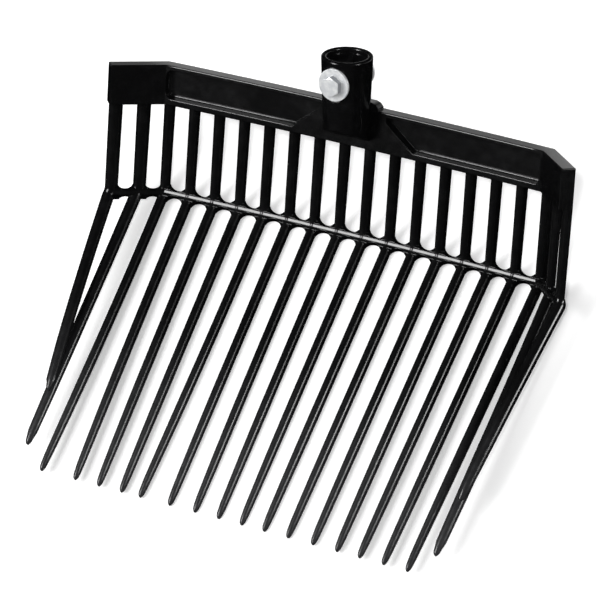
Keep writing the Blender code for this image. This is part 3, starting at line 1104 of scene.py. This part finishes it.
@dataclass
class Fastening:
    """The bolt that holds a handle, with its washers and nut."""

    socket: Socket
    flats: float = 0.0130
    flats_share: float = 0.8
    face_share: float = 0.95
    corner_slope: float = radians(30)
    head_height: float = 0.0053
    nut_height: float = 0.0080
    collar_height: float = 0.0020
    collar_insets: tuple = (0.0008, 0.0013)
    collar_round: float = 0.0006
    washer_radius: float = 0.0120
    washer_thickness: float = 0.0020
    washer_edge: float = 0.00025
    gap: float = 0.0003
    past_nut: float = 0.0020
    thread_pitch: float = 0.00125
    thread_start: float = 0.010
    thread_end: float = 0.0009
    thread_depth: float = 0.0004
    thread_ridge: float = 0.00036
    thread_steps: int = 20
    thread_fade: int = 10
    shank_overlap: float = 0.001
    shank_round: float = 0.0007
    ring_steps: int = 96
    collar_steps: int = 72
    shank_steps: int = 48

    def under(self) -> float:
        """How far from the bore's middle the bolt's head and the nut begin."""
        return self.socket.seat() + self.washer_thickness + 2 * self.gap

    def axis(self) -> Vector:
        """The direction out of the socket's front along the bolt."""
        return self.socket.bolt_axes().col[2].to_3d()

    def flats_reach(self) -> tuple[float, float]:
        """Where the flats of the bolt's head begin and end, along the bolt from the origin."""
        low = self.under() + self.socket.bolt_axes().translation.dot(self.axis())
        return low, low + self.flats_share * self.head_height

    def axes(self, turned: bool) -> Matrix:
        """The bolt's axes, or those turned about for what lies behind the socket."""
        flip = Matrix.Rotation(pi, 4, "X") if turned else Matrix.Identity(4)
        return self.socket.bolt_axes() @ flip

    def washer(self, turned: bool, finish: "Finish") -> Object:
        """Model one large washer on its flat, with broken edges.

        Args:
            turned: whether it lies behind the socket.
            finish: the zinc plate.

        Returns:
            The washer.
        """
        where = "rear" if turned else "front"
        piece = Bench.new(
            f"{where}_plain_washer",
            bpy.ops.mesh.primitive_circle_add,
            vertices=self.ring_steps,
            radius=self.washer_radius,
            fill_type="NGON",
            location=(0, 0, self.socket.seat() + self.gap),
        )
        bpy.ops.mesh.inset(thickness=self.washer_radius - self.socket.bolt_radius - self.gap)
        bpy.ops.mesh.delete(type="ONLY_FACE")
        bpy.ops.mesh.select_all(action="SELECT")
        Bench.extrude(UP * self.washer_thickness)
        Bench.done(piece)
        Bench.break_edges(piece, self.washer_edge, steps=2, degrees=50)
        Bench.put(piece, self.axes(turned))
        Bench.smooth(piece, degrees=40)
        return dress(piece, finish, Body.HEAD, f"{where}_washer")

    def hexagon(self, name: str, low: float, high: float, both: bool) -> Object:
        """Model a hexagon about Z with its corners turned off.

        Args:
            name: the piece's name.
            low: its lower face's height.
            high: its upper face's height.
            both: whether the lower corners are turned off too.

        Returns:
            The hexagon, about the origin.
        """
        half = (high - low) / 2
        radius = self.flats / sqrt(3)
        face = self.flats / 2 * self.face_share
        wide = face + 2 * half / tan(self.corner_slope)
        middle = Matrix.Translation((0, 0, (low + high) / 2))
        piece = Bench.done(Bench.bar(name, (low, high), (radius, radius), sides=6))
        for turn in (0, pi) if both else (0,):
            cone = Bench.bar("turned_corners", (-half, half), (wide, face), self.ring_steps)
            Bench.put(Bench.done(cone), middle @ Matrix.Rotation(turn, 4, "X"))
            Bench.combine(piece, "INTERSECT", [cone])
        return piece

    def thread(self, low: float, high: float) -> Object:
        """Model the thread's ridge as one strand wound round the shank.

        Args:
            low: where it begins along the bolt.
            high: where it ends.

        Returns:
            The ridge, about the origin.
        """
        turns = (high - low) / self.thread_pitch
        count = round(turns * self.thread_steps)
        points = []
        for step in range(count + 1):
            angle = 2 * pi * turns * step / count
            fade = min(1.0, step / self.thread_fade, (count - step) / self.thread_fade)
            reach = self.socket.bolt_radius - self.thread_ridge * (2 - fade)
            height = low + (high - low) * step / count
            points.append((Vector((reach * cos(angle), reach * sin(angle), height)), 0.0))
        piece = Bench.line("thread", points)
        piece.data.bevel_depth = self.thread_ridge
        piece.data.bevel_resolution = 1
        piece.data.use_fill_caps = True
        Bench.take(piece)
        bpy.ops.object.convert(target="MESH")
        return Bench.done(bpy.context.object)

    def bolt(self, finish: "Finish") -> Object:
        """Model the bolt: its hexagon head, shank and threaded end.

        Args:
            finish: the zinc plate.

        Returns:
            The bolt.
        """
        under, radius = self.under(), self.socket.bolt_radius
        end = -(under + self.nut_height + self.past_nut)
        piece = self.hexagon("hexagon_bolt", under, under + self.head_height, both=False)
        ends = (self.thread_start, under + self.head_height / 2)
        plain = Bench.bar("plain_shank", ends, (radius, radius), self.shank_steps)
        Bench.combine(piece, "UNION", [Bench.done(plain)])
        ends, core = (end, self.thread_start + self.shank_overlap), radius - self.thread_depth
        threaded = Bench.bar("threaded_shank", ends, (core, core), self.shank_steps)
        Bench.round_edges(
            threaded,
            lambda edge: all(vert.co.z < end + CLOSE for vert in edge.verts),
            self.shank_round,
            steps=2,
        )
        Bench.combine(piece, "UNION", [Bench.done(threaded)])
        Bench.take(self.thread(end + self.thread_end, self.thread_start), piece)
        bpy.ops.object.join()
        Bench.put(piece, self.axes(False))
        Bench.smooth(piece, degrees=35)
        return dress(piece, finish, Body.BOLT, "retaining_bolt")

    def nut(self, finish: "Finish") -> Object:
        """Model the lock nut: a hexagon with the round collar that grips the thread.

        Args:
            finish: the zinc plate.

        Returns:
            The nut.
        """
        near, far = self.under(), self.under() + self.nut_height
        piece = self.hexagon("hexagon_lock_nut", near, far - self.collar_height, both=True)
        ends = (far - 2 * self.collar_height, far)
        radii = tuple(self.flats / 2 - inset for inset in self.collar_insets)
        collar = Bench.bar("collar", ends, radii, self.collar_steps)
        Bench.round_edges(
            collar,
            lambda edge: all(vert.co.z > far - CLOSE for vert in edge.verts),
            self.collar_round,
            steps=3,
        )
        Bench.combine(piece, "UNION", [Bench.done(collar)])
        ends = (near - self.nut_height, far + self.nut_height)
        radius = self.socket.bolt_radius + self.gap / 2
        hole = Bench.bar("nut_hole", ends, (radius, radius), self.shank_steps)
        Bench.combine(piece, "DIFFERENCE", [Bench.done(hole)])
        Bench.put(piece, self.axes(True))
        Bench.smooth(piece, degrees=35)
        return dress(piece, finish, Body.BOLT, "lock_nut")


Value = Union["Wire", float]
Colour = Union["Wire", tuple]


class Wire:
    """An output of a shader node, with operators that add Math nodes."""

    def __init__(self, graph: "Graph", socket: bpy.types.NodeSocket) -> None:
        """Keep the socket and the graph that it is in."""
        self.graph = graph
        self.socket = socket

    def math(self, operation: str, first: Value, second: Value) -> "Wire":
        """Add one Math node to the graph."""
        inputs = {0: first, 1: second}
        return self.graph.node("Math", {"operation": operation}, inputs)

    def __add__(self, other: Value) -> "Wire":
        """Add."""
        return self.math("ADD", self, other)

    __radd__ = __add__

    def __mul__(self, other: Value) -> "Wire":
        """Multiply."""
        return self.math("MULTIPLY", self, other)

    __rmul__ = __mul__

    def __sub__(self, other: Value) -> "Wire":
        """Subtract."""
        return self.math("SUBTRACT", self, other)

    def __rsub__(self, other: Value) -> "Wire":
        """Subtract from a number."""
        return self.math("SUBTRACT", other, self)


class Graph:
    """A node tree that is written as expressions."""

    def __init__(self, tree: bpy.types.NodeTree) -> None:
        """Empty the tree."""
        self.tree = tree
        tree.nodes.clear()

    def node(self, kind: str, settings: dict, inputs: dict, output: Union[int, str] = 0) -> Wire:
        """Add a node.

        Args:
            kind: the node's type, without the prefix that all of them share.
            settings: its settings.
            inputs: the values or wires of its sockets, by name or number.
            output: the output to return.

        Returns:
            That output.
        """
        made = self.tree.nodes.new(f"ShaderNode{kind}")
        for name, value in settings.items():
            setattr(made, name, value)
        for key, value in inputs.items():
            if isinstance(value, Wire):
                self.tree.links.new(value.socket, made.inputs[key])
            else:
                made.inputs[key].default_value = value
        return Wire(self, made.outputs[output])

    def finish(self, kind: str, surface: Wire) -> None:
        """Wire a surface to an output node."""
        output = self.tree.nodes.new(f"ShaderNode{kind}")
        self.tree.links.new(surface.socket, output.inputs["Surface"])

    def place(self) -> Wire:
        """The object's own coordinates, in metres."""
        return self.node("TexCoord", {}, {}, "Object")

    def along(self, axis: str) -> Wire:
        """One of the object's own coordinates."""
        return self.node("SeparateXYZ", {}, {0: self.place()}, axis)

    def ray(self, kind: str) -> Wire:
        """Whether the ray is of a kind, as 1 or 0."""
        return self.node("LightPath", {}, {}, f"Is {kind} Ray")

    def noise(self, scale: float, detail: float, roughness: float = 0.5) -> Wire:
        """A noise from 0 to 1 over the object.

        Args:
            scale: the noise's scale.
            detail: how many finer ones are added.
            roughness: how much they weigh.

        Returns:
            The noise.
        """
        inputs = {"Vector": self.place(), "Scale": scale, "Detail": detail}
        inputs["Roughness"] = roughness
        return self.node("TexNoise", {"noise_dimensions": "3D"}, inputs, 0)

    def ramp(self, value: Wire, low: float, high: float) -> Wire:
        """A smooth step from 0 at low to 1 at high."""
        inputs = {"Value": value, "From Min": low, "From Max": high}
        return self.node("MapRange", {"interpolation_type": "SMOOTHSTEP"}, inputs)

    def blend(self, share: Value, first: Colour, second: Colour) -> Wire:
        """A mix of two colours, each three numbers or a wire.

        Args:
            share: the second's share.
            first: one colour.
            second: the other.

        Returns:
            The mix.
        """
        first_input, second_input, output = 6, 7, 2
        inputs = {0: share}
        for key, colour in ((first_input, first), (second_input, second)):
            inputs[key] = colour if isinstance(colour, Wire) else (*colour, 1)
        return self.node("Mix", {"data_type": "RGBA"}, inputs, output)

    def relief(self, height: Wire, bump: tuple[float, float], edge: tuple[float, int]) -> Wire:
        """A normal with rounded edges and a fine relief.

        Args:
            height: the relief, from 0 to 1.
            bump: its strength and its distance.
            edge: the edges' radius and how many samples round them.

        Returns:
            The normal.
        """
        rounded = self.node("Bevel", {"samples": edge[1]}, {"Radius": edge[0]})
        inputs = {"Strength": bump[0], "Distance": bump[1], "Height": height, "Normal": rounded}
        return self.node("Bump", {}, inputs)


@dataclass(frozen=True)
class Finish:
    """What every finish has: a name and a way to make its material."""

    name: str

    def material(self) -> bpy.types.Material:
        """Make the material, its nodes filled in by the finish.

        Returns:
            The material.
        """
        made = bpy.data.materials.new(self.name)
        made.use_nodes = True
        graph = Graph(made.node_tree)
        graph.finish("OutputMaterial", self.surface(graph))
        return made

    def surface(self, graph: Graph) -> Wire:
        """Make the shader."""
        raise NotImplementedError


@dataclass(frozen=True)
class MouldedPlastic(Finish):
    """Black plastic as it leaves the mould: satin, a little mottled, duller toward the tips, with
    a paler painted sheen there.
    """

    name: str = "moulded_plastic"
    dark: tuple = (0.0018, 0.0018, 0.0020)
    pale: tuple = (0.0060, 0.0062, 0.0066)
    # Painted sheen: the paler grey that the tines' tips are coloured toward.
    painted_tip_sheen: tuple = (0.036, 0.036, 0.038)
    tip_reach: tuple = (-0.165, -0.02)
    sheen_least: float = 0.35
    mottle: tuple = (160, 4, 0.62)
    grain: tuple = (2600, 2)
    flow: tuple = (28, 3)
    mottle_share: float = 0.6
    tone_reach: tuple = (0.42, 0.86)
    roughness: float = 0.19
    mottle_roughness: float = 0.12
    worn_roughness: float = 0.06
    flow_roughness: float = 0.06
    grain_share: float = 0.35
    bump: tuple = (0.14, 0.00010)
    edge: tuple = (0.0005, 6)

    def surface(self, graph: Graph) -> Wire:
        """Make the plastic's shader.

        Args:
            graph: the tree that it is made in.

        Returns:
            The shader's output.
        """
        tips = 1 - graph.ramp(graph.along("Y"), *self.tip_reach)
        mottle, grain, flow = (
            graph.noise(*kind) for kind in (self.mottle, self.grain, self.flow)
        )
        streaks = mottle * self.mottle_share + flow * (1 - self.mottle_share)
        body = graph.blend(graph.ramp(streaks, *self.tone_reach), self.dark, self.pale)
        # Painted sheen: the base colour turns paler toward the tines' tips, a little mottled.
        painted_tip_sheen = tips * (self.sheen_least + (1 - self.sheen_least) * mottle)
        roughness = self.roughness + (mottle - 0.5) * self.mottle_roughness
        roughness = roughness + tips * self.worn_roughness + (flow - 0.5) * self.flow_roughness
        height = grain * self.grain_share + mottle * (1 - self.grain_share)
        inputs = {
            "Base Color": graph.blend(painted_tip_sheen, body, self.painted_tip_sheen),
            "Roughness": roughness,
            "Normal": graph.relief(height, self.bump, self.edge),
        }
        return graph.node("BsdfPrincipled", {}, inputs)


@dataclass(frozen=True)
class ZincPlate(Finish):
    """Bright zinc plate: pale and a little streaked, with painted shade on the flats of the bolt's
    head.
    """

    name: str = "zinc_plate_finish"
    axis: tuple = (0, 0, 1)
    flats: tuple = (0.0, 0.0)
    flats_edge: float = 0.0003
    bright: tuple = (0.93, 0.94, 0.94)
    dull: tuple = (0.74, 0.76, 0.78)
    # Painted shade: the darker colour that the flats of the bolt's head are given.
    shaded: tuple = (0.30, 0.31, 0.33)
    cloud: tuple = (260, 4, 0.6)
    speck: tuple = (3200, 2)
    tone_reach: tuple = (0.3, 0.75)
    metallic: float = 0.50
    roughness: float = 0.34
    cloud_roughness: float = 0.18
    bump: tuple = (0.25, 0.00005)
    edge: tuple = (0.0002, 4)

    def surface(self, graph: Graph) -> Wire:
        """Make the plate's shader.

        Args:
            graph: the tree that it is made in.

        Returns:
            The shader's output.
        """
        cloud, speck = graph.noise(*self.cloud), graph.noise(*self.speck)
        plate = graph.blend(graph.ramp(cloud, *self.tone_reach), self.dull, self.bright)
        inputs = {0: graph.place(), 1: self.axis}
        height = graph.node("VectorMath", {"operation": "DOT_PRODUCT"}, inputs, 1)
        foot, head = self.flats
        # Painted shade: a band along the bolt, over the flats of its head.
        above = graph.ramp(height, foot, foot + self.flats_edge)
        flats = above * (1 - graph.ramp(height, head - self.flats_edge, head))
        inputs = {
            "Base Color": graph.blend(flats, plate, self.shaded),
            "Metallic": self.metallic,
            "Roughness": self.roughness + (cloud - 0.5) * self.cloud_roughness,
            "Normal": graph.relief(speck * 0.5 + cloud * 0.5, self.bump, self.edge),
        }
        return graph.node("BsdfPrincipled", {}, inputs)


@dataclass(frozen=True)
class StudioFloor(Finish):
    """A plain floor that shows as white and is mirrored as a card; it keeps the head's shadow, but
    painted glow washes it out behind the wall and beside the wings.
    """

    name: str = "studio_floor"
    white: float = 0.86
    card_white: float = 0.72
    card_near: tuple = (0.215, 0.245)
    card_far: tuple = (0.33, 0.38)
    card_left: tuple = (-0.262, -0.236)
    left_share: float = 0.35
    card_fade: tuple = (-0.2, 0.06)
    fade_share: float = 0.35
    card_right: tuple = (0.080, 0.092)
    right_more: float = 0.9
    glow: float = 0.20
    # Painted light: the extra glow behind the wall and beside the wings, over the head's shadow.
    far_glow: float = 0.26
    glow_behind: tuple = (0.060, 0.085)
    glow_right: tuple = (0.190, 0.215)
    glow_left: tuple = (-0.172, -0.150)
    glow_left_share: float = 0.6

    def surface(self, graph: Graph) -> Wire:
        """Make the floor's shader.

        Args:
            graph: the tree that it is made in.

        Returns:
            The shader's output.
        """
        across, behind = graph.along("X"), graph.along("Y")
        left = graph.ramp(across, *self.card_left)
        card = graph.ramp(behind, *self.card_near) * (1 - graph.ramp(behind, *self.card_far))
        card = card * (self.left_share + (1 - self.left_share) * left)
        card = card * (1 - self.fade_share * graph.ramp(across, *self.card_fade))
        card = card * (1 + self.right_more * graph.ramp(across, *self.card_right))
        mirrored = graph.blend(card, (0, 0, 0), (self.card_white,) * 3)
        tone = graph.blend(graph.ray("Glossy"), (self.white,) * 3, mirrored)
        paper = graph.node("BsdfDiffuse", {}, {"Color": tone})
        # Painted light: the glow is raised behind the wall and beside the wings, washing out the
        # head's shadow there.
        beside = self.glow_left_share * (1 - graph.ramp(across, *self.glow_left))
        beside = graph.ramp(across, *self.glow_right) + beside
        far = graph.ramp(behind, *self.glow_behind)
        far = far + (1 - far) * beside
        glow = (self.glow + self.far_glow * far) * graph.ray("Camera")
        inputs = {"Color": (1, 1, 1, 1), "Strength": glow}
        light = graph.node("Emission", {}, inputs)
        return graph.node("AddShader", {}, {0: paper, 1: light})


def dress(piece: Object, finish: Finish, body: Body, node: str) -> Object:
    """Give a piece its finish and its body, and hide the CAD node that it stands for.

    Args:
        piece: the finished piece.
        finish: its finish.
        body: the body that it rides on.
        node: the CAD node that it replaces.

    Returns:
        The same piece.
    """
    piece.data.materials.clear()
    made = bpy.data.materials.get(finish.name) or finish.material()
    piece.data.materials.append(made)
    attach(piece, body.value)
    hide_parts(node)
    LOG.info("%s: %d faces on %s", piece.name, len(piece.data.polygons), body.value)
    return piece


@dataclass(frozen=True)
class Lamp:
    """A rectangular lamp, placed by its offset from what it points at."""

    name: str
    aim: Vector
    offset: Vector
    long: Vector
    size: tuple
    watts: float
    hidden_from: str = "camera"

    def hang(self) -> None:
        """Hang the lamp out of the camera's sight, and of one more kind of ray if it says so."""
        light = bpy.data.lights.new(self.name, "AREA")
        light.shape = "RECTANGLE"
        light.size, light.size_y = self.size
        light.energy = self.watts
        made = Bench.link(self.name, light)
        place = Matrix.Translation(self.aim + self.offset)
        made.matrix_world = place @ aimed(self.offset, self.long)
        made.visible_camera = False
        setattr(made, f"visible_{self.hidden_from}", False)


@dataclass
class Studio:
    """The floor, the lights and the camera."""

    aim: Vector = Vector((-0.00750, 0.00048, 0.020))
    right: Vector = Vector((0.85615, 0.37859, -0.35169))
    back: Vector = Vector((0.47025, -0.28870, 0.83399))
    distance: float = 3.661
    lens: float = 309.07
    sensor: float = 36
    sight: float = 50
    floor_size: float = 14
    floor_drop: float = 0.0002
    ambient: float = 0.24
    mirrored: float = 0.03

    def camera(self) -> None:
        """Set the camera at the photograph's angle, with no shift."""
        lens = bpy.data.cameras.new("camera")
        lens.lens = self.lens
        lens.sensor_width = self.sensor
        lens.clip_end = self.sight
        eye = Bench.link("camera", lens)
        place = Matrix.Translation(self.aim + self.back.normalized() * self.distance)
        eye.matrix_world = place @ aimed(self.back, self.right)
        bpy.context.scene.camera = eye

    def floor(self) -> None:
        """Lay the floor that the tines rest on."""
        place = Matrix.Translation((0, 0, -self.floor_drop))
        add = bpy.ops.mesh.primitive_plane_add
        piece = Bench.new("studio_floor", add, place, size=self.floor_size)
        Bench.clear()
        piece.data.materials.append(StudioFloor().material())

    def lamps(self) -> list[Lamp]:
        """The lamps: one that is only mirrored, two that are never mirrored, and an edge light.

        Returns:
            The lamps, not yet hung.
        """
        knee, tips = Vector((0, 0.062, 0.004)), Vector((0.06, -0.125, 0.004))
        above, arc = Vector((-0.470, -0.329, 0.819)), Vector((0, 0.928, 0.373))
        near_camera = self.back.normalized() + Vector((-0.0535, 0.0250, 0.0388))
        beside, slope = Vector((0.880, 0.262, 0.370)), Vector((0.50, 0, -0.86))
        return [
            Lamp("mirrored_card", knee, above * 2.4, arc, (1.45, 0.72), 52, "diffuse"),
            Lamp("soft_box", knee, above * 2.6, arc, (1.7, 1.7), 57, "glossy"),
            Lamp("front_light", self.aim, near_camera * 3.6, ACROSS, (0.20, 0.20), 44, "glossy"),
            Lamp("edge_strip", tips, beside * 1.2, slope, (0.42, 0.15), 3.6),
        ]

    def surroundings(self) -> None:
        """Set the pale surroundings: white to the camera, dim to the piece and dark in mirrors."""
        world = bpy.data.worlds.new("surroundings")
        bpy.context.scene.world = world
        world.use_nodes = True
        graph = Graph(world.node_tree)
        strength = self.ambient + graph.ray("Camera") * (1 - self.ambient)
        strength = strength - graph.ray("Glossy") * (self.ambient - self.mirrored)
        inputs = {"Color": (1, 1, 1, 1), "Strength": strength}
        graph.finish("OutputWorld", graph.node("Background", {}, inputs))

    def build(self) -> None:
        """Set up the studio."""
        self.camera()
        self.floor()
        for lamp in self.lamps():
            lamp.hang()
        self.surroundings()
        bpy.context.scene.view_settings.view_transform = "Standard"


def main() -> None:
    """Build the studio and the head."""
    logging.basicConfig(level=logging.INFO, format="%(name)s: %(message)s")
    Studio().build()
    plan = HeadPlan()
    Moulding(plan).build(MouldedPlastic())
    fastening = Fastening(Socket(plan))
    zinc = ZincPlate(axis=tuple(fastening.axis()), flats=fastening.flats_reach())
    for turned in (False, True):
        fastening.washer(turned, zinc)
    fastening.bolt(zinc)
    fastening.nut(zinc)
    Bench.clear()


if __name__ == "__main__":
    main()
